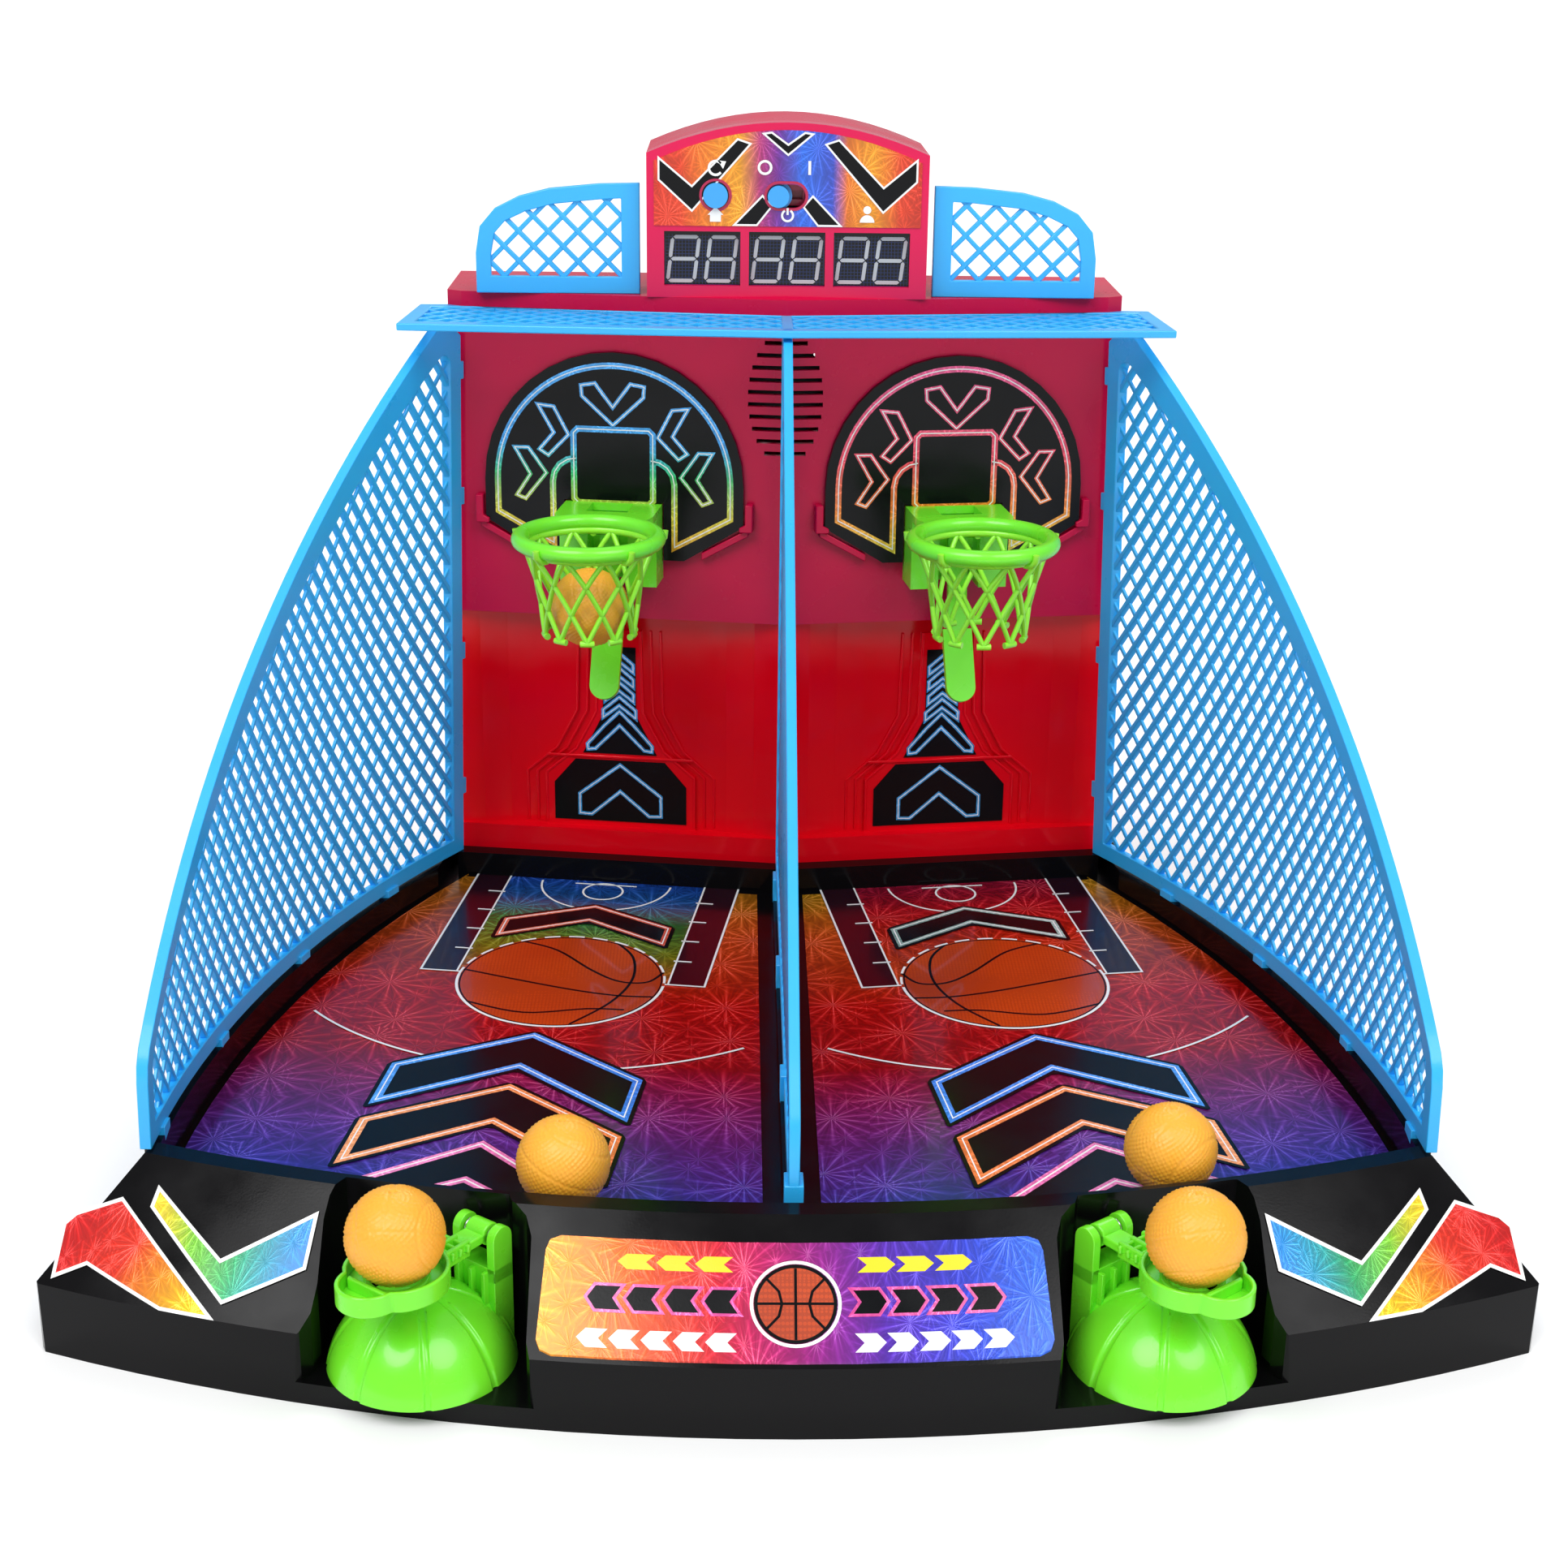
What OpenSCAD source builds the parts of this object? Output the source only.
// Tabletop two-lane electronic basketball game with finger launchers.
// Units are millimetres. X runs across the lanes, Y runs from the players to the tower, Z is up.
// Heights start at the table. Depths inside the modules are measured from the front edge of the
// base, and at_front() moves them so that the origin is the middle of the footprint.

/* [Base] */
// Depth of the whole game, front edge to rear cover
total_d = 342; // [340:1:344]
// Radius of the curved front edge
front_r = 525; // [520:1:530]
// Half the width across the front corners
half_w = 201; // [200:0.5:203]
// Height of the front wall under the sloped console
front_h = 20; // [18:0.5:22]
// Height of the console and of the back ledge
console_h = 46; // [45:0.5:47]
// Height of the rim along the courts
rim_h = 45; // [44:0.5:45.5]
// Shell thickness of the moulded parts
wall = 2.6; // [2.2:0.1:3]

/* [Tower] */
// Width of the tower
tower_w = 230; // [226:1:232]
// Depth of the tower's front corners
corner_y = 294; // [293:0.5:295]
// Depth of the ridge between the two lanes
ridge_y = 278; // [277:0.5:279]
// Height where the lower panel ends and the proud upper panel starts
split_z = 134; // [130:1:138]
// Height of the tower under the canopy
tower_z = 236; // [235:1:237]

/* [Hoops] */
// Height of the hoop's centre line
hoop_z = 173.5; // [172:0.5:175]
// Distance of the hoop's centre from the wall
hoop_reach = 46; // [45:0.5:47]
// Centre line radius of the hoop
hoop_r = 22.3; // [22:0.1:22.8]
// Distance of each lane's centre from the middle, measured on the wall
lane_x = 57.3; // [56.5:0.1:58]

/* [Launchers and balls] */
// Ball diameter
ball_d = 25.4; // [25:0.1:25.8]
// Sideways place of each launcher's dome
dome_x = 97.5; // [96.5:0.5:98.5]
// Turn of each launcher arm towards the outside, in degrees
arm_turn = 38; // [36:1:40]
// Height of each launcher's hinge pin
arm_z = 38; // [37.5:0.5:39]
// Distance from the hinge pin to the middle of the ball cup
arm_len = 31; // [30.5:0.5:31.5]

/* [Scoreboard] */
// Width of the scoreboard
score_w = 92; // [90:1:94]
// Height of the scoreboard's shoulders
shoulder_z = 290; // [289:0.5:291]
// Height of the top of the scoreboard
score_top = 300; // [299:0.5:301]
// Diameter of the reset button
button_d = 8; // [7.6:0.1:8.2]

/* [Hidden] */

// Round surfaces are true circles at this facet count
$fn = 48;
// Small step that lets a cut run past a face
eps = 0.5;
// Gap between parts that move against each other
gap = 0.3;
// Thickness of the printed foil stickers
foil = 0.3;

// Base
crest = 6;
slope_d = 33;
console_d = slope_d + crest + 1;
arc_half = 24;
court_front_z = 33;
court_back_z = 37;
side_r = 445;
side_cx = -269.4;
side_cy = 65;
rim_w = 5;
ledge_y = ridge_y - 6;
pocket_floor = 6;
pocket_in = 68.4;
pocket_out = 123.8;
rib_w = 5;
rib_h = 4;

// Tower
half_t = tower_w / 2;
v_slope = (corner_y - ridge_y) / half_t;
lane_turn = atan(v_slope);
joint_y = 314;
cover_y = total_d - 1;
recess = 5;
relief_y = 4.4;
grille_z = 213;
canopy_t = 2.4;
canopy_z = tower_z + 0.4;
cap_z = canopy_z + canopy_t;
cap_h = 5;
score_z = cap_z + cap_h;
score_y = 286;
bezel_d = 8;
score_back = 330;
boss_x = half_t - 6.8;
boss_z = [60, 116, 142, 226];
screw_d = 2.6;
head_d = 5.4;

// Controls
button_x = -23.5;
button_z = 276.8;
button_travel = 1.2;
switch_x = -0.5;
switch_z = 276.6;
knob_d = 7;
knob_travel = 5;
window_w = 25;
window_h = 17.6;
window_z = 247.6;
window_x = [-27.8, 0, 27.8];

// Hoops and levers
wire_r = 2.6;
net_h = 30;
net_r = 14.6;
lever_v = -9;
lever_z = 168;
pin_d = 2.4;
bore_d = pin_d + 0.1;

// Launchers
dome_y = 28;
dome_r = 25.4;
dome_h = 21;
pivot_x = 82;
pivot_y = 38.4;
cup_r = 13.4;
cup_hole = 6.5;
lip_h = 3.4;
arm_t = 3;
cup_z = arm_z + arm_t / 2;
launch_ball_z = cup_z + sqrt(pow(ball_d / 2, 2) - pow(cup_hole, 2)) + gap;

// Batteries
cell_d = 14.2;
cell_l = 49;
cell_z = 110;

module at_front() {
    translate([0, -total_d / 2, 0]) children();
}

module mirrored(side) {
    if (side < 0) mirror([1, 0, 0]) children();
    else children();
}

// Places children on one lane's wall: X along the wall, -Y out of it
module lane(side) {
    at_front() mirrored(side) translate([lane_x, ridge_y + lane_x * v_slope, 0])
        rotate([0, 0, lane_turn]) children();
}

// Places children at one launcher's hinge, with the arm along -Y
module arm_frame(side) {
    at_front() mirrored(side) translate([pivot_x, pivot_y, arm_z]) rotate([0, 0, arm_turn]) children();
}

function wall_y(x) = ridge_y + abs(x) * v_slope;
function side_x(y, r) = sqrt(r * r - pow(y - side_cy, 2)) + side_cx;
function front_y(x, r) = front_r - sqrt(r * r - x * x);
function flip(pts) = [for (i = [len(pts) - 1:-1:0]) [-pts[i][0], pts[i][1]]];
function court_z(y) =
    court_front_z + (court_back_z - court_front_z) * (y - console_d) / (ledge_y - console_d);

// Plan of the courts and tower, inset by t, with its front edge on an arc of radius rf
function court_side(t) = concat(
    [for (y = [74:18.2:292]) [side_x(y, side_r + rim_w / 2 - t), y]],
    [[half_t + 2.4 - t, total_d - t]]);
function court_plan(t, rf) = concat(
    [for (x = [-172:21.5:172]) [x, front_y(x, rf)]],
    court_side(t), flip(court_side(t)));

// Plan that trims the ends of the console, inset by t
function end_side(t) = [[half_w - 7.5 - t, 20], [half_w - 2 - t, 38], [half_w - t, 42],
    [half_w - 3 - t, 58], [half_w - 17 - t, 82]];
function end_plan(t) = concat([[0, -20]], [[half_w - 7.5 - t, -20]], end_side(t), [[0, 130]], flip(end_side(t)),
    [[-half_w + 7.5 + t, -20]]);

// Plan of one launcher pocket, grown by t
function pocket_plan(t) = [[pocket_in - 6.5 - t, -20], [pocket_in - 6.5 - t, 0], [pocket_in - 3.5 - t, 3],
    [pocket_in - 1 - t, 5.5], [pocket_in - t, 9], [pocket_in - t, 31], [pocket_in + 1.6 - t, 35.5],
    [pocket_in + 5.6 - t, 39.5 + t], [pocket_in + 12 - t, 60 + t], [pocket_out - 9 + t, 60 + t],
    [pocket_out - 1 + t, 46], [pocket_out + t, 41], [pocket_out + t, 27], [pocket_out + 1 + t, 21],
    [pocket_out + 3.6 + t, 17.4], [pocket_out + 8 + t, 14.8], [pocket_out + 14 + t, 13.4],
    [pocket_out + 14 + t, -20]];

// Swept console bar; profile points are distance behind the front edge and height
module console_sweep(profile) {
    translate([0, front_r, 0]) rotate([0, 0, -90 - arc_half])
        rotate_extrude(angle = 2 * arc_half, $fn = 180)
            polygon([for (p = profile) [front_r - p[0], p[1]]]);
}

module console_body() {
    intersection() {
        console_sweep([[0, 0], [1.2, front_h], [slope_d, console_h], [slope_d + crest, console_h],
            [console_d, console_h - 1], [console_d, 0]]);
        end_trim(0);
    }
}

module console_hollow() {
    intersection() {
        console_sweep([[wall, -1], [wall + 1, front_h - 1.5], [slope_d + 0.8, console_h - wall],
            [console_d - wall, console_h - wall], [console_d - wall, -1]]);
        end_trim(wall);
    }
}

// Solid that trims both console ends, with faces that lean inwards above the front wall
module end_trim(t) {
    difference() {
        translate([0, 0, -2]) linear_extrude(height = 60) polygon(end_plan(t));
        for (side = [-1, 1])
            mirrored(side) translate([half_w - t, 42, front_h]) rotate([0, 0, 18]) rotate([0, -33, 0])
                translate([0, -60, -30]) cube([40, 140, 90]);
    }
}

module pocket(t, z0, z1) {
    for (side = [-1, 1])
        mirrored(side) translate([0, 0, z0]) linear_extrude(height = z1 - z0) polygon(pocket_plan(t));
}

module pocket_cut() {
    intersection() {
        pocket(0, pocket_floor, 80);
        console_sweep([[-5, 0], [-5, 90], [console_d - wall, 90], [console_d - wall, 0]]);
    }
}

// Slab that follows the court's slope, from dz0 to dz1 measured from the floor's top face
module court_slab(dz0, dz1, y0, y1) {
    translate([-200, 0, 0]) rotate([90, 0, 90]) linear_extrude(height = 400)
        polygon([[y0, court_z(y0) + dz0], [y1, court_z(y1) + dz0], [y1, court_z(y1) + dz1],
            [y0, court_z(y0) + dz1]]);
}

module base_shell() {
    color("#1b1a1c") at_front() {
        difference() {
            union() {
                difference() {
                    console_body();
                    console_hollow();
                }
                intersection() {
                    console_body();
                    pocket(wall, 0, 80);
                }
                // Rim and skirt around the courts and the tower
                linear_extrude(height = rim_h) difference() {
                    polygon(court_plan(0, front_r - console_d + 1));
                    polygon(court_plan(rim_w, front_r));
                }
                // Sloped court floor
                intersection() {
                    court_slab(-wall, 0, console_d - 4, 300);
                    linear_extrude(height = 60) polygon(court_plan(1, front_r - console_d + 1));
                }
                // Ledge that carries the tower
                translate([0, 0, console_h - wall]) linear_extrude(height = wall) polygon(ledge_plan(0));
                translate([0, 0, court_back_z - wall]) linear_extrude(height = console_h - court_back_z + wall)
                    difference() {
                        polygon(ledge_plan(0));
                        translate([0, wall]) polygon(ledge_plan(0));
                    }
                // Rail that holds the divider net
                translate([-rib_w / 2, console_d - 1, court_front_z - 1])
                    cube([rib_w, ledge_y - console_d + 3, rib_h + court_back_z - court_front_z]);
                // Stiffening ribs under the floor
                translate([-1.2, 2, 0]) cube([2.4, total_d - 4, front_h - 2]);
                translate([-1.2, console_d - 1, 0]) cube([2.4, total_d - console_d - 2, court_front_z - 1]);
                for (y = [140, 240]) translate([-140, y, 0]) cube([280, 2.4, court_front_z - 1]);
            }
            pocket_cut();
            // Underside of each pocket floor
            intersection() {
                pocket(-wall, -1, pocket_floor - wall);
                console_hollow_low();
            }
            base_screw_holes();
        }
    }
}

module console_hollow_low() {
    console_sweep([[wall, -1], [wall, 20], [console_d - wall, 20], [console_d - wall, -1]]);
}

function ledge_plan(t) = [[-half_t + t, wall_y(half_t) - 6 + t], [0, ledge_y + t],
    [half_t - t, wall_y(half_t) - 6 + t], [half_t - t, total_d - 1 - t], [-half_t + t, total_d - 1 - t]];

module base_screw_holes() {
    for (x = [-90, 90])
        translate([x, 328, console_h - wall - 1]) cylinder(d = screw_d, h = 2 * wall);
}

// Foil sticker of one court
module court_sticker(side) {
    color(side < 0 ? "#b8354a" : "#c8442c") at_front() mirrored(side) intersection() {
        court_slab(0, foil, console_d + 2, ledge_y + 20);
        linear_extrude(height = 60) polygon(concat(
            [for (x = [8:20:148]) [x, front_y(x, front_r - console_d) + 3]],
            [for (y = [82:17.2:289]) [side_x(y, side_r - rim_w / 2 - 1.5), y]],
            [[side_x(285, side_r - rim_w / 2 - 2), wall_y(110) - 8], [8, wall_y(8) - 9]]));
    }
}
module court_sticker_left() { court_sticker(-1); }
module court_sticker_right() { court_sticker(1); }

// Thin layer on the console's slope, cut to the given plan
module slope_foil(pts) {
    intersection() {
        console_sweep([[1.2, front_h], [1.2 - 0.3, front_h + foil], [slope_d - 0.2, console_h + foil],
            [slope_d, console_h]]);
        linear_extrude(height = 60) polygon(pts);
    }
}

// Plan point on the slope: f is 0 at the crease and 1 at the top
function on_slope(x, f) = [x, front_y(x, front_r - 1.2 - (slope_d - 1.2) * f)];

module console_sticker_center() {
    color("#d0502a") at_front() slope_foil(concat(
        [on_slope(-66, 0.12), on_slope(-65, 0.06)],
        [for (x = [-62:15.5:62]) on_slope(x, 0.03)],
        [on_slope(65, 0.06), on_slope(66, 0.12), on_slope(64.5, 0.7), on_slope(63.4, 0.77)],
        [for (x = [60.6:-15.15:-60.7]) on_slope(x, 0.8)],
        [on_slope(-63.4, 0.77), on_slope(-64.5, 0.7)]));
}

// Arrow-shaped chevron and check-shaped chevron beside each launcher
module console_stickers(side) {
    color("#c8b428") at_front() mirrored(side) {
        slope_foil([on_slope(180, 0.66), on_slope(151.5, 0.01), on_slope(165.5, 0.01), on_slope(187.3, 0.2),
            on_slope(196.3, 0.07), on_slope(195.4, 0.42), on_slope(192.5, 0.5)]);
        slope_foil([on_slope(170, 0.78), on_slope(150.5, 0.38), on_slope(125.8, 0.78), on_slope(127.6, 0.42),
            on_slope(148.8, 0.12), on_slope(171.3, 0.65)]);
    }
}
module console_stickers_left() { console_stickers(-1); }
module console_stickers_right() { console_stickers(1); }

// Flat net panel in its own XY plane: an outline, its inner opening and two sets of slanted bars
module net_plan(outer, inner, pitch, bar, slant, reach) {
    difference() {
        polygon(outer);
        polygon(inner);
    }
    intersection() {
        polygon(outer);
        for (turn = [-slant, slant], k = [-reach:pitch:reach])
            rotate(turn) translate([k - bar / 2, -2 * reach]) square([bar, 4 * reach]);
    }
}

// Side view of the sail-shaped nets, as depth and height, inset by t
function sail(y_low, y_top, y_back, z_top, t) = [[y_back - t, console_h + 2 + t * 1.2],
    [y_back - t, z_top - 4 - t], [y_top + t * 0.8, z_top - t * 1.6], [y_low + t, 73 - t * 0.2],
    [y_low - 2 + t, console_h + 0.6 + t * 1.2]];

module sail_net(outer, inner) {
    rotate([90, 0, 90]) linear_extrude(height = 500, center = true)
        net_plan(outer, inner, 23, 2.4, 38, 400);
}

module side_net(side) {
    color("#3fb0f5") at_front() mirrored(side) translate([side_r + side_cx, 0, rim_h]) rotate([0, -1.5, 0])
        translate([-side_r - side_cx, 0, -rim_h]) intersection() {
            sail_net(sail(70, 280, 290, 235, 0), sail(70, 280, 290, 235, 5));
            translate([side_cx, side_cy, 0]) difference() {
                cylinder(r = side_r + 1.2, h = 260, $fn = 180);
                translate([0, 0, -1]) cylinder(r = side_r - 1.2, h = 262, $fn = 180);
            }
            cube([300, 400, 300]);
        }
}
module side_net_left() { side_net(-1); }
module side_net_right() { side_net(1); }

module divider_net() {
    color("#3fb0f5") at_front() translate([-1.2, 0, 0]) rotate([90, 0, 90]) linear_extrude(height = 2.4)
        net_plan(divider_edge(0), divider_edge(5), 23, 2.4, 38, 400);
}
function divider_edge(t) = [[ridge_y - 0.5 - t, console_h + t], [ridge_y - 0.5 - t, tower_z - 0.2 - t],
    [ridge_y - 26 + t * 0.6, tower_z - 0.2 - t], [46 + t, 66], [44 + t, 40 + t]];

// Canopy over the hoops, flat net between the tower and its cap
module canopy_net() {
    color("#3fb0f5") at_front() translate([0, 0, canopy_z]) {
        linear_extrude(height = canopy_t) net_plan(
            [[-125, 259], [0, 251], [125, 259], [122, 297], [113, 300], [-113, 300], [-122, 297]],
            [[-120, 264], [0, 256], [120, 264], [118, 283], [0, 272], [-118, 283]], 15, 2, 42, 330);
        // Mounting flange under the cap
        linear_extrude(height = canopy_t) polygon([[-113, 296], [0, 281], [113, 296], [113, 303], [-113, 303]]);
    }
}

// Wing net beside the scoreboard, with an outer end that curves up to the top
function wing_edge(t) = concat([[51 + t, t], [101 - t, t]],
    [for (a = [0:15:75]) [101 - t - (20 - t * 0.4) * (1 - cos(a)), 15 + (13 - t) * sin(a) + t * 0.2]],
    [[51 + t, 34.5 - t]]);

module wing_net(side) {
    color("#3fb0f5") at_front() mirrored(side) translate([0, score_y + 8, score_z]) rotate([90, 0, 0])
        linear_extrude(height = 2.6) net_plan(wing_edge(0), wing_edge(4.5), 9, 1.2, 45, 140);
}
module wing_net_left() { wing_net(-1); }
module wing_net_right() { wing_net(1); }

function shell_front(t) = [[-half_t + t, corner_y + t], [0, ridge_y + t], [half_t - t, corner_y + t]];

// Bosses that take the rear cover screws
module bosses(heights) {
    for (x = [-boss_x, boss_x], z = heights)
        translate([x, joint_y - 4, z]) rotate([-90, 0, 0]) difference() {
            cylinder(d = 8, h = cover_y - wall - joint_y + 3.6);
            translate([0, 0, 6]) cylinder(d = screw_d, h = 40);
        }
    // Webs that tie the bosses to the side walls
    for (side = [-1, 1], z = heights)
        mirrored(side) translate([boss_x - 2, joint_y - 12, z - 2]) cube([half_t - boss_x + 1, 11.8, 4]);
}

module grille_cut() {
    for (k = [-5:4])
        let (w = 2 * sqrt(pow(12.5, 2) - pow(2.3 * k + 1.1, 2)))
            translate([-w / 2, ridge_y - 5, grille_z + 4.1 * k]) cube([w, 20, 1.5]);
}

module tower_upper_shell() {
    color("#cd1950") at_front() difference() {
        union() {
            translate([0, 0, split_z]) linear_extrude(height = tower_z - split_z) difference() {
                polygon(concat(shell_front(0), [[half_t, joint_y], [-half_t, joint_y]]));
                polygon(concat(shell_front(wall), [[half_t - wall, joint_y + 5], [-half_t + wall, joint_y + 5]]));
            }
            translate([0, 0, split_z]) linear_extrude(height = wall) difference() {
                polygon(concat(shell_front(0), [[half_t, joint_y], [-half_t, joint_y]]));
                polygon(concat(shell_front(14), [[half_t - 14, joint_y + 5], [-half_t + 14, joint_y + 5]]));
            }
            bosses([boss_z[2], boss_z[3]]);
        }
        grille_cut();
    }
}

// Front face of the lower panel: each lane is a shallow hollow between the ridge and the corner
function hollow_y(x) = wall_y(x) + 1 + recess * (1 - pow(abs(2 * abs(x) / half_t - 1), 4));
function lower_front(t) = [for (x = [-half_t:half_t / 12:half_t + 0.1])
    [x * (half_t - t) / half_t, hollow_y(x) + t]];

module tower_lower_shell() {
    color("#dc0019") at_front() {
        translate([0, 0, console_h]) linear_extrude(height = split_z - console_h) difference() {
            polygon(concat(lower_front(0), [[half_t, joint_y], [-half_t, joint_y]]));
            polygon(concat(lower_front(wall), [[half_t - wall, joint_y + 5], [-half_t + wall, joint_y + 5]]));
        }
        // Flat relief behind each lane's stickers
        for (side = [-1, 1])
            translate([0, total_d / 2, 0]) lane(side) translate([0, relief_y + 2.6, 0]) rotate([90, 0, 0])
                linear_extrude(height = 2.6) polygon([[-8, split_z - 6], [-8.5, 98], [-16, 83], [-27, 74], [-27, 55],
                    [27, 55], [27, 74], [16, 83], [8.5, 98], [8, split_z - 6]]);
        // Bottom ledge
        translate([0, 0, console_h]) linear_extrude(height = 9)
            polygon(concat(shell_front(0),
                [[half_t, corner_y + 9], [0, ridge_y + 13], [-half_t, corner_y + 9]]));
        bosses([boss_z[0], boss_z[1]]);
    }
}

module tower_rear_cover() {
    color("#c01848") at_front() difference() {
        translate([-half_t, joint_y, console_h]) cube([tower_w, cover_y - joint_y, tower_z - console_h]);
        translate([-half_t + wall, joint_y - eps, console_h + wall])
            cube([tower_w - 2 * wall, cover_y - joint_y - wall + eps, tower_z - console_h - 2 * wall]);
        // Battery opening
        translate([-34, joint_y, cell_z - 27]) cube([68, 40, 54]);
        // Screw holes and their recesses
        for (x = [-boss_x, boss_x], z = boss_z) translate([x, joint_y, z]) rotate([-90, 0, 0]) {
            cylinder(d = screw_d, h = 40);
            translate([0, 0, cover_y - joint_y - 1.4]) cylinder(d = head_d + 0.4, h = 3);
        }
        for (x = [-90, 90]) translate([x, 328, console_h - 1]) cylinder(d = screw_d, h = 6);
        // Vent slots
        for (x = [-24:6:24]) translate([x - 1, cover_y - 5, 196]) cube([2, 10, 22]);
    }
}

// Pan head screw along -Z, with the head's underside at the origin
module screw(length) {
    difference() {
        cylinder(d = head_d, h = 1.4);
        translate([0, 0, 1.4]) cube([4, 0.8, 1.4], center = true);
        translate([0, 0, 1.4]) cube([0.8, 4, 1.4], center = true);
    }
    translate([0, 0, -length]) cylinder(d = screw_d, h = length);
}

module rear_cover_screws() {
    color("#9a9ca0") at_front() for (x = [-boss_x, boss_x], z = boss_z)
        translate([x, cover_y - 1.4, z]) rotate([-90, 0, 0]) screw(14);
}

module tower_base_screws() {
    color("#9a9ca0") at_front() for (x = [-90, 90])
        translate([x, 328, console_h + wall]) screw(2 * wall + 2);
}

module tower_cap() {
    color("#cd1950") at_front() difference() {
        translate([0, 0, cap_z]) linear_extrude(height = cap_h)
            polygon([[-113, 298], [-108, 295], [0, 281], [108, 295], [113, 298], [113, cover_y],
                [-113, cover_y]]);
        translate([-36, 300, cap_z - 1]) cube([72, 24, cap_h + 2]);
    }
}

// Chevron with a straight-sided pen, drawn upwards around the origin
module chevron(w, rise, pen) {
    polygon([[-w / 2, 0], [0, rise], [w / 2, 0], [w / 2, -pen], [0, rise - pen], [-w / 2, -pen]]);
}

// Foil on the lower panel: a flared neck and a block with chamfered corners
module tower_stickers(side) {
    color("#16181c") lane(side) translate([0, relief_y, 0]) rotate([90, 0, 0]) linear_extrude(height = foil) {
        polygon([[-5.9, 122], [5.9, 122], [5.9, 97], [13.2, 82.5], [-13.2, 82.5], [-5.9, 97]]);
        polygon([[-23.7, 57], [23.7, 57], [23.7, 71], [16, 80], [-16, 80], [-23.7, 71]]);
    }
}
module tower_stickers_left() { tower_stickers(-1); }
module tower_stickers_right() { tower_stickers(1); }

// Front view of the scoreboard, inset by t
function score_face(t) = concat([[-score_w / 2 + t, score_z + t], [score_w / 2 - t, score_z + t]],
    [for (a = [1:-0.125:-1]) [a * (score_w / 2 - t), shoulder_z + (score_top - shoulder_z) * (1 - a * a) - t]]);

module score_slab(y0, depth, t) {
    translate([0, y0 + depth, 0]) rotate([90, 0, 0]) linear_extrude(height = depth) polygon(score_face(t));
}

// Slot with round ends, along X, with its left end's centre at the origin
module slot_cut(d, travel, depth) {
    rotate([-90, 0, 0]) {
        cylinder(d = d, h = depth);
        translate([travel, 0, 0]) cylinder(d = d, h = depth);
        translate([0, -d / 2, 0]) cube([travel, d, depth]);
    }
}

// Holes for the button and the sliding knob, with the given clearance on the diameter
module control_cut(spare) {
    translate([button_x, score_y - 1, button_z]) rotate([-90, 0, 0]) cylinder(d = button_d + spare, h = 6);
    translate([switch_x - knob_travel / 2, score_y - 1, switch_z]) slot_cut(knob_d + spare, knob_travel, 6);
}

module scoreboard_bezel() {
    color("#e10f5a") at_front() difference() {
        score_slab(score_y, bezel_d, 0);
        translate([0, 2.4, 0]) score_slab(score_y, bezel_d, 2);
        for (x = window_x)
            translate([x - window_w / 2, score_y - 1, window_z]) cube([window_w, 6, window_h]);
        control_cut(2 * gap);
    }
}

module scoreboard_housing() {
    color("#cd1950") at_front() difference() {
        score_slab(score_y + bezel_d, score_back - score_y - bezel_d, 0);
        translate([0, -1, 0]) score_slab(score_y + bezel_d, score_back - score_y - bezel_d - 1.2, 2.2);
    }
}

module scoreboard_sticker() {
    color("#e07830") at_front() difference() {
        translate([0, score_y, 0]) rotate([90, 0, 0]) linear_extrude(height = foil) intersection() {
            polygon(score_face(2.4));
            translate([-score_w, 267]) square([2 * score_w, 60]);
        }
        control_cut(3 * gap);
    }
}

module display_panels() {
    color("#0c0e12") at_front() for (x = window_x)
        translate([x - window_w / 2 - 0.9, score_y + 2.4, window_z - 0.4])
            cube([window_w + 1.8, 3, window_h + 1.2]);
}

// Seven bars of one digit that leans to the right
module digit() {
    multmatrix([[1, 0.16, 0, 0], [0, 1, 0, 0], [0, 0, 1, 0]]) for (k = [0:2]) {
        translate([-2.7, 6.3 * k - 0.5]) square([5.4, 1]);
        if (k < 2) for (x = [-3.6, 3.6]) translate([x - 0.5, 6.3 * k + 0.6]) square([1, 5.1]);
    }
}

module display_digits() {
    color("#8c9094") at_front() for (x = window_x, dx = [-6.2, 5.2])
        translate([x + dx - 0.5, score_y + 2.4, window_z + 2.4]) rotate([90, 0, 0])
            linear_extrude(height = 0.2) digit();
}

module circuit_board() {
    color("#1d6b3c") at_front() {
        translate([-40, score_y + 13, score_z + 3.5]) cube([80, 1.6, 40]);
        translate([-8, score_y + 14.6, score_z + 16]) cube([16, 1.6, 16]);
    }
}

module reset_button() {
    color("#4db4f0") at_front() translate([button_x, score_y - 1.8, button_z]) rotate([-90, 0, 0]) {
        cylinder(d = button_d, h = 6);
        translate([0, 0, 4.6]) cylinder(d = button_d + 3, h = 1.2);
    }
}

module reset_switch() {
    color("#303236") at_front() translate([button_x, score_y + 5.8, button_z]) rotate([-90, 0, 0]) {
        translate([-3, -3, 3.2]) cube([6, 6, 4]);
        cylinder(d = 3, h = 4);
    }
}

module power_switch_knob() {
    color("#4db4f0") at_front() translate([switch_x - knob_travel / 2, score_y - 1.4, switch_z])
        rotate([-90, 0, 0]) {
            cylinder(d = knob_d, h = 4.6);
            translate([0, 0, 4.1]) cylinder(d = knob_d + 2, h = 1);
            translate([-1, -1, 5.1]) cube([2, 2, 3]);
        }
}

module power_switch_body() {
    color("#2a3a5a") at_front() translate([switch_x - 7, score_y + 5.5, switch_z - 3.5]) difference() {
        cube([14, 7.5, 7]);
        translate([3, -1, 2]) cube([9.5, 4.5, 3]);
    }
}

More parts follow.
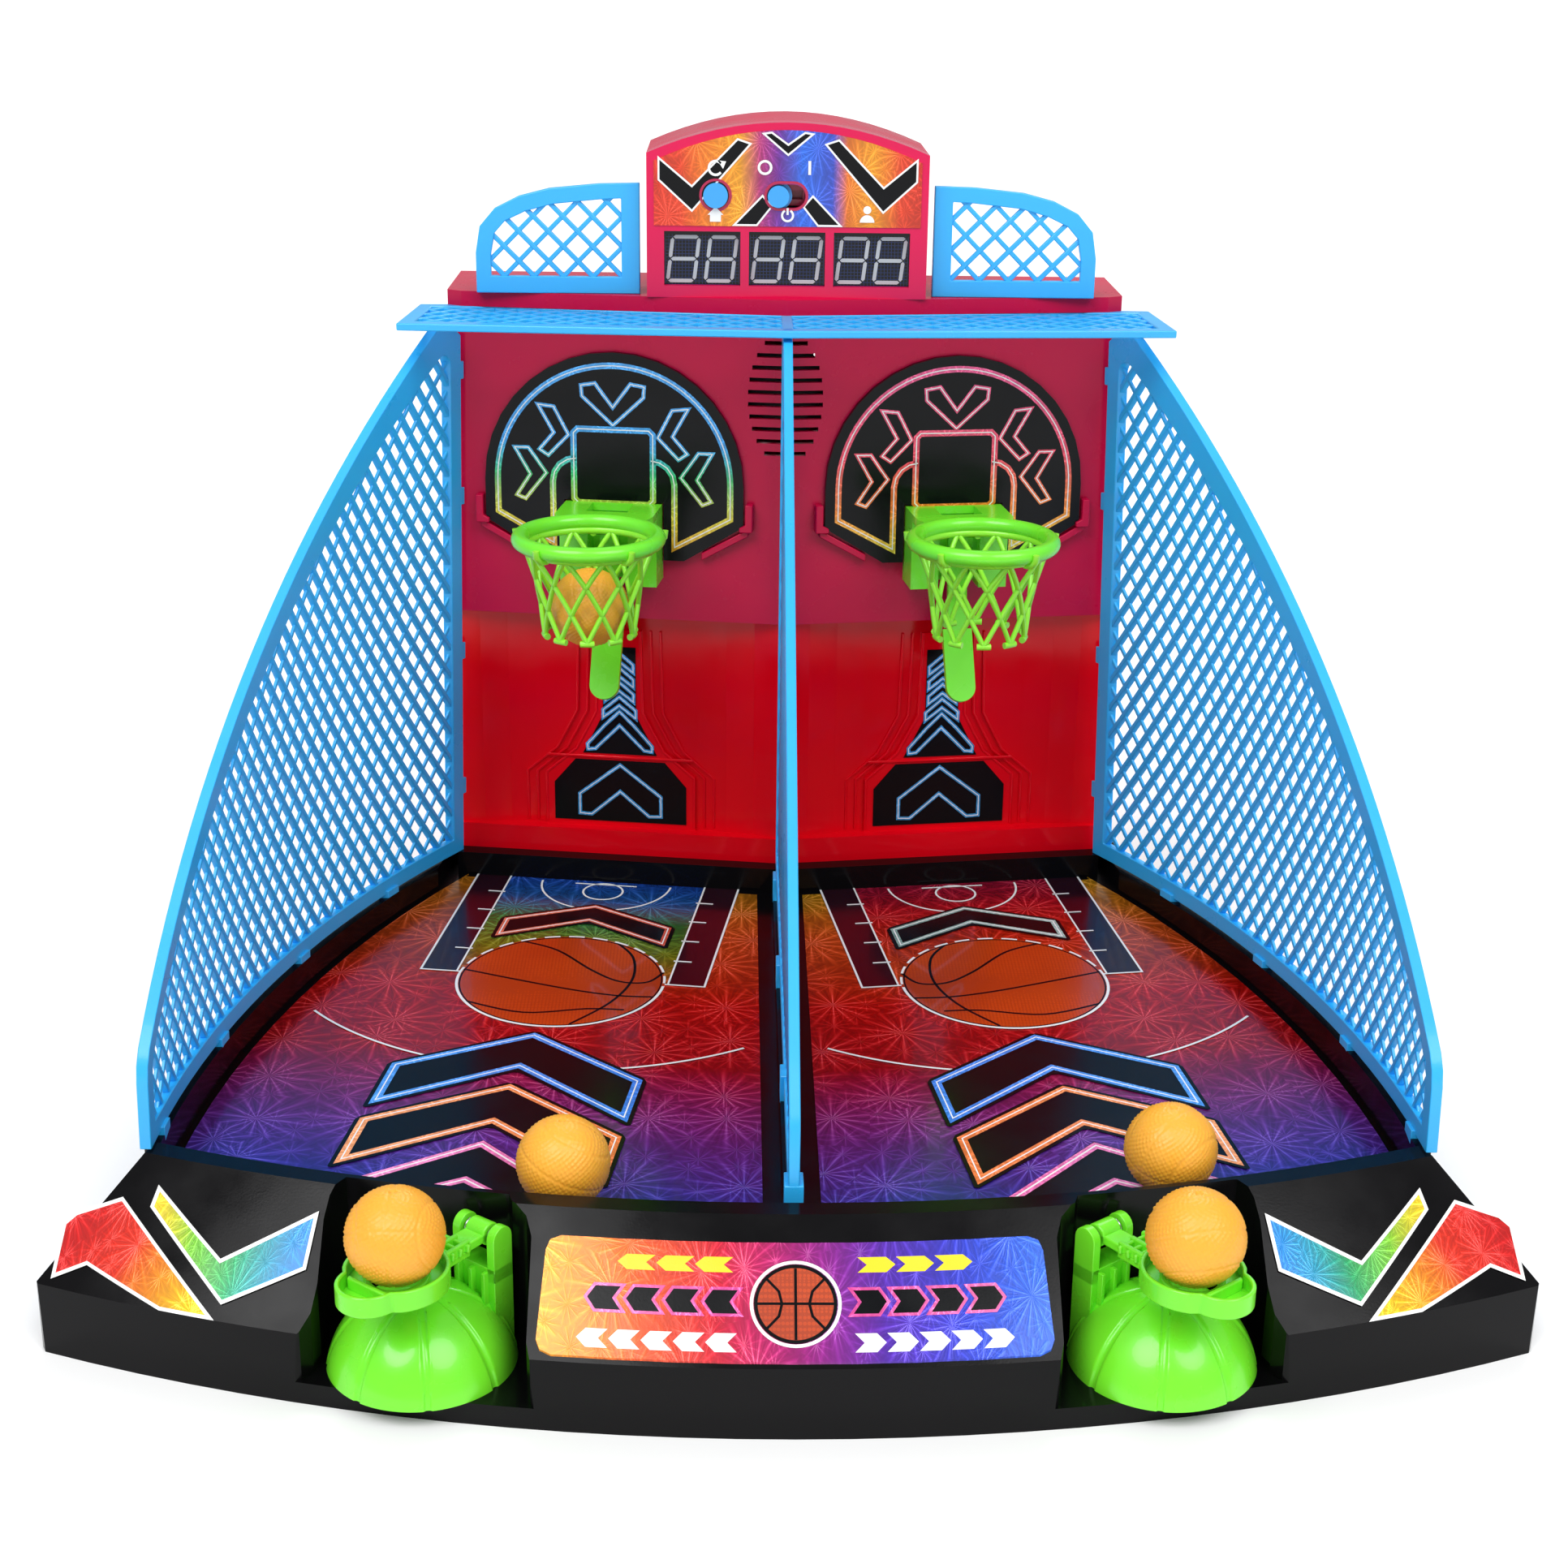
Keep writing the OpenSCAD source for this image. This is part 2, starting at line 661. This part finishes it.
module speaker() {
    color("#3a3c40") at_front() translate([0, ridge_y + 8, grille_z]) rotate([-90, 0, 0]) {
        difference() {
            cylinder(d = 30, h = 2);
            translate([0, 0, -1]) cylinder(d = 24, h = 2);
        }
        translate([0, 0, 2]) cylinder(d = 24, h = 4);
        translate([0, 0, 6]) cylinder(d = 16, h = 4);
    }
}

module battery_box() {
    color("#242428") at_front() difference() {
        translate([-cell_l / 2 - 3.5, 318, cell_z - 26]) cube([cell_l + 7, 18, 52]);
        translate([-cell_l / 2 - 0.5, 320, cell_z - 23.5]) cube([cell_l + 1, 30, 47]);
    }
}

module batteries() {
    color("#c88a3c") at_front() for (k = [-1:1])
        translate([(k == 0 ? 1 : -1) * cell_l / 2, 328, cell_z + k * 15.4]) rotate([0, k == 0 ? -90 : 90, 0]) {
            cylinder(d = cell_d, h = cell_l - 1);
            translate([0, 0, cell_l - 1]) cylinder(d = 5.4, h = 1);
        }
}

module battery_contacts() {
    color("#c9ccd2") at_front() for (side = [-1, 1], k = [-1:1])
        translate([side * (cell_l / 2 + 0.25) - 0.25, 321, cell_z + k * 15.4 - 5]) cube([0.5, 12, 10]);
}

module battery_door() {
    color("#c01848") at_front() difference() {
        union() {
            translate([-34 + gap, cover_y - 2.6, cell_z - 27 + gap]) cube([68 - 2 * gap, 2.6, 54 - 2 * gap]);
            // Thumb ribs
            for (k = [-2:2]) translate([-12, cover_y - 0.5, cell_z - 20 + 2 * k]) cube([24, 1.2, 0.9]);
        }
        translate([0, cover_y - 8, cell_z + 24]) rotate([-90, 0, 0]) cylinder(d = screw_d, h = 10);
        translate([0, cover_y - 1.4, cell_z + 24]) rotate([-90, 0, 0]) cylinder(d = head_d + 0.2, h = 5);
    }
}

module battery_door_screw() {
    color("#9a9ca0") at_front() translate([0, cover_y - 1.4, cell_z + 24]) rotate([-90, 0, 0]) screw(2.4);
}

// Front view of a backboard
function board_face() = concat(
    [for (a = [0:10:180]) [44.2 * cos(a), 181.5 + 44.2 * sin(a)]],
    [[-44.2, 168], [-24, 155.5], [-17, 155.5], [-17, 175.4], [17, 175.4], [17, 155.5], [24, 155.5],
        [44.2, 168]]);

module backboard(side) {
    color("#15161a") lane(side) rotate([90, 0, 0]) linear_extrude(height = 2.2) polygon(board_face());
}
module backboard_left() { backboard(-1); }
module backboard_right() { backboard(1); }

module hoop(side) {
    color("#6ee63c") lane(side) {
        translate([0, -hoop_reach, hoop_z]) rotate_extrude() translate([hoop_r, 0])
            circle(r = wire_r, $fn = 24);
        difference() {
            union() {
                // Flat arm from the wall to the ring
                translate([0, 0, hoop_z - 1.2]) linear_extrude(height = 2.6) difference() {
                    polygon([[-16.5, 0], [16.5, 0], [16.5, -20], [13, -32], [-13, -32], [-16.5, -20]]);
                    translate([0, -hoop_reach]) circle(r = hoop_r - 1);
                }
                // Cheeks and back plate of the bracket
                for (x = [-16.5, 7]) translate([x, -13.5, 149]) cube([9.5, 13.5, hoop_z - 149]);
                translate([-16.5, -2.2, 149]) cube([33, 2.2, hoop_z - 149]);
            }
            translate([-7, -15, hoop_z - 2]) cube([14, 12, 5]);
            translate([-20, lever_v, lever_z]) rotate([0, 90, 0]) cylinder(d = pin_d, h = 40);
        }
    }
}
module hoop_left() { hoop(-1); }
module hoop_right() { hoop(1); }

// Straight round bar between two points
module rod(a, b, r) {
    let (d = b - a, l = norm(d))
        translate(a) rotate([0, acos(d[2] / l), atan2(d[1], d[0])]) cylinder(r = r, h = l, $fn = 16);
}

// Open basket under the ring: two hoops joined by crossing bars
module hoop_net(side) {
    top_z = hoop_z - 3.2;
    low_z = top_z - net_h;
    top_r = hoop_r - 1;
    color("#8cf04a") lane(side) translate([0, -hoop_reach, 0]) {
        translate([0, 0, top_z]) rotate_extrude() translate([top_r, 0]) circle(r = 1.2, $fn = 16);
        translate([0, 0, low_z]) rotate_extrude() translate([net_r, 0]) circle(r = 1, $fn = 16);
        for (a = [0:36:324], turn = [-54, 54])
            rod([top_r * cos(a), top_r * sin(a), top_z],
                [net_r * cos(a + turn), net_r * sin(a + turn), low_z], 0.8);
    }
}
module hoop_net_left() { hoop_net(-1); }
module hoop_net_right() { hoop_net(1); }

// Lever that hangs behind the net and counts each ball
module sensor_lever(side) {
    color("#6ee63c") lane(side) translate([0, lever_v, lever_z]) difference() {
        union() {
            rotate([0, 90, 0]) cylinder(d = 5.4, h = 11.4, center = true);
            rotate([-8, 0, 0]) translate([-3.2, -1.2, -36]) cube([6.4, 2.4, 36]);
            // Paddle that leans forwards, with a round tip
            translate([0, -4.6, -33.5]) rotate([-26, 0, 0]) {
                translate([-5, -1.2, -20]) cube([10, 2.4, 20]);
                translate([0, 1.2, -20]) rotate([90, 0, 0]) cylinder(d = 10, h = 2.4);
            }
        }
        rotate([0, 90, 0]) cylinder(d = bore_d, h = 20, center = true);
    }
}
module sensor_lever_left() { sensor_lever(-1); }
module sensor_lever_right() { sensor_lever(1); }

module sensor_pins() {
    color("#b8bac0") for (side = [-1, 1])
        lane(side) translate([-16, lever_v, lever_z]) rotate([0, 90, 0]) cylinder(d = pin_d, h = 32);
}

module sensor_switches() {
    color("#303236") for (side = [-1, 1])
        lane(side) translate([-6, wall + 0.4, lever_z - 6]) cube([12, 6, 10]);
}

// Half-basketball dome with the hinge post
module launcher_base(side) {
    color("#6ee63c") at_front() mirrored(side) {
        difference() {
            translate([dome_x, dome_y, pocket_floor]) difference() {
                translate([0, 0, dome_h - dome_r]) sphere(r = dome_r);
                translate([0, 0, dome_h - dome_r]) sphere(r = dome_r - 2);
                translate([-40, -40, -60]) cube([80, 80, 60]);
                // Flat back that stands off the pocket's rear wall
                translate([0, 18.6, -5]) rotate([0, 0, 11.5]) translate([-40, 0, 0]) cube([80, 40, 60]);
            }
            translate([pivot_x, pivot_y, pocket_floor]) rotate([0, 0, arm_turn])
                translate([-7.4, -3.5, 2]) cube([14.8, 7, 40]);
        }
        translate([pivot_x, pivot_y, 0]) rotate([0, 0, arm_turn]) difference() {
            union() {
                translate([-7.4, -3.5, pocket_floor]) cube([14.8, 7, 24]);
                for (x = [-7.4, 4.8]) {
                    translate([x, -3.5, pocket_floor + 22]) cube([2.6, 7, arm_z - pocket_floor - 22]);
                    translate([x, 0, arm_z]) rotate([0, 90, 0]) cylinder(d = 7, h = 2.6);
                }
            }
            translate([-10, 0, arm_z]) rotate([0, 90, 0]) cylinder(d = pin_d, h = 20);
        }
    }
}
module launcher_base_left() { launcher_base(-1); }
module launcher_base_right() { launcher_base(1); }

// Spring arm with a round cup for the ball and a finger tab
module launcher_arm(side) {
    color("#6ee63c") arm_frame(side) difference() {
        union() {
            rotate([0, 90, 0]) cylinder(d = 6.4, h = 6.6, center = true);
            translate([-5, -arm_len + 6, -arm_t / 2]) cube([10, arm_len - 15, arm_t]);
            translate([-3.3, -10, -arm_t / 2]) cube([6.6, 10, arm_t]);
            for (x = [-5, 3.6]) translate([x, -arm_len + 12, 0]) cube([1.4, arm_len - 21, 3]);
            translate([0, -arm_len, -arm_t / 2]) cylinder(r = cup_r, h = arm_t);
            // Lip round the cup
            translate([0, -arm_len, -arm_t / 2]) difference() {
                cylinder(r = cup_r + 0.4, h = arm_t + lip_h);
                translate([0, 0, arm_t / 2]) cylinder(r = cup_r - 1.7, h = 20);
            }
            translate([0, -arm_len - 12.5, -arm_t / 2]) cylinder(r = 6.8, h = arm_t);
        }
        translate([0, -arm_len, -10]) cylinder(r = cup_hole, h = 20);
        rotate([0, 90, 0]) cylinder(d = bore_d, h = 20, center = true);
    }
}
module launcher_arm_left() { launcher_arm(-1); }
module launcher_arm_right() { launcher_arm(1); }

module launcher_pins() {
    color("#b8bac0") for (side = [-1, 1])
        arm_frame(side) rotate([0, 90, 0]) cylinder(d = pin_d, h = 14.6, center = true);
}

// Torsion spring coils on the hinge pin, one on each side of the hub
module launcher_springs() {
    color("#c9ccd2") for (side = [-1, 1], x = [-4.05, 4.05])
        arm_frame(side) translate([x, 0, 0]) rotate([0, 90, 0]) rotate_extrude() translate([2, 0])
            circle(r = 0.4, $fn = 16);
}

module ball() {
    color("#ffa532") difference() {
        sphere(d = ball_d);
        translate([0, 0, ball_d / 2 - 1.5]) cylinder(d = 1.4, h = 3);
    }
}

// A ball that lies on a court against the console
module floor_ball(x, y) {
    at_front() translate([x, y, court_z(y) + foil + ball_d / 2 + 0.1]) ball();
}

module ball_net() {
    lane(-1) translate([0, -hoop_reach, hoop_z - 23]) ball();
}
module ball_floor_left() { floor_ball(-62, 60); }
module ball_floor_right() { floor_ball(104, 68); }
module ball_launcher(side) {
    arm_frame(side) translate([0, -arm_len, launch_ball_z - arm_z]) ball();
}
module ball_launcher_left() { ball_launcher(-1); }
module ball_launcher_right() { ball_launcher(1); }

base_shell();
court_sticker_left();
court_sticker_right();
console_sticker_center();
console_stickers_left();
console_stickers_right();
divider_net();
side_net_left();
side_net_right();
canopy_net();
wing_net_left();
wing_net_right();
tower_upper_shell();
tower_lower_shell();
tower_rear_cover();
tower_cap();
rear_cover_screws();
tower_base_screws();
tower_stickers_left();
tower_stickers_right();
scoreboard_bezel();
scoreboard_housing();
scoreboard_sticker();
display_panels();
display_digits();
circuit_board();
reset_button();
reset_switch();
power_switch_knob();
power_switch_body();
speaker();
battery_box();
batteries();
battery_contacts();
battery_door();
battery_door_screw();
backboard_left();
backboard_right();
hoop_left();
hoop_right();
hoop_net_left();
hoop_net_right();
sensor_lever_left();
sensor_lever_right();
sensor_pins();
sensor_switches();
launcher_base_left();
launcher_base_right();
launcher_arm_left();
launcher_arm_right();
launcher_pins();
launcher_springs();
ball_net();
ball_floor_left();
ball_floor_right();
ball_launcher_left();
ball_launcher_right();
